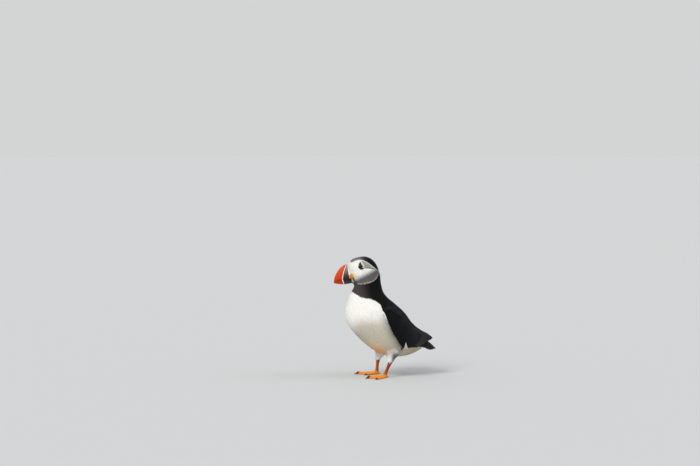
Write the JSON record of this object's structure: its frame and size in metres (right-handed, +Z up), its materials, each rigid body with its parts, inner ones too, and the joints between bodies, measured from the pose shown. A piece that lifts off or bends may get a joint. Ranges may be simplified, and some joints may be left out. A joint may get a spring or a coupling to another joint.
{
  "type": "atlantic puffin figure",
  "caption": "Life-size Atlantic puffin standing still on two webbed feet, black above and white below, with a tall orange-red bill.",
  "frame": {"origin": "middle of the bird's bounding box, on the floor under its feet", "axes": "+Z up from the floor; -Y the way the bird faces; +X to the bird's left"},
  "size_m": [0.1046, 0.1766, 0.204],
  "materials": {
    "black_plumage": "matt black contour feathers",
    "white_plumage": "matt white contour feathers",
    "face_plumage": "short dense grey-white feathers",
    "bill_horn": "waxy grooved horn",
    "cere": "matt cream horn",
    "gape_skin": "fleshy yellow-orange skin",
    "eye": "wet, dark",
    "eye_plate": "blue-grey horn",
    "leg_skin": "scaly orange skin",
    "claw": "black horn"
  },
  "bodies": {
    "root": {"head": "face_plumage", "neck": "black_plumage", "trunk": "white_plumage", "tail": "black_plumage", "bill_upper": "bill_horn", "bill_lower": "bill_horn", "cere": "cere", "wing_left": "black_plumage", "eye_left": "eye", "eye_plate_upper_left": "eye_plate", "eye_plate_lower_left": "eye_plate", "gape_left": "gape_skin", "thigh_left": "white_plumage", "tarsus_left": "leg_skin", "foot_left": "leg_skin", "claw_inner_left": "claw", "claw_middle_left": "claw", "claw_outer_left": "claw", "wing_right": "black_plumage", "eye_right": "eye", "eye_plate_upper_right": "eye_plate", "eye_plate_lower_right": "eye_plate", "gape_right": "gape_skin", "thigh_right": "white_plumage", "tarsus_right": "leg_skin", "foot_right": "leg_skin", "claw_inner_right": "claw", "claw_middle_right": "claw", "claw_outer_right": "claw"}
  },
  "joints": []
}
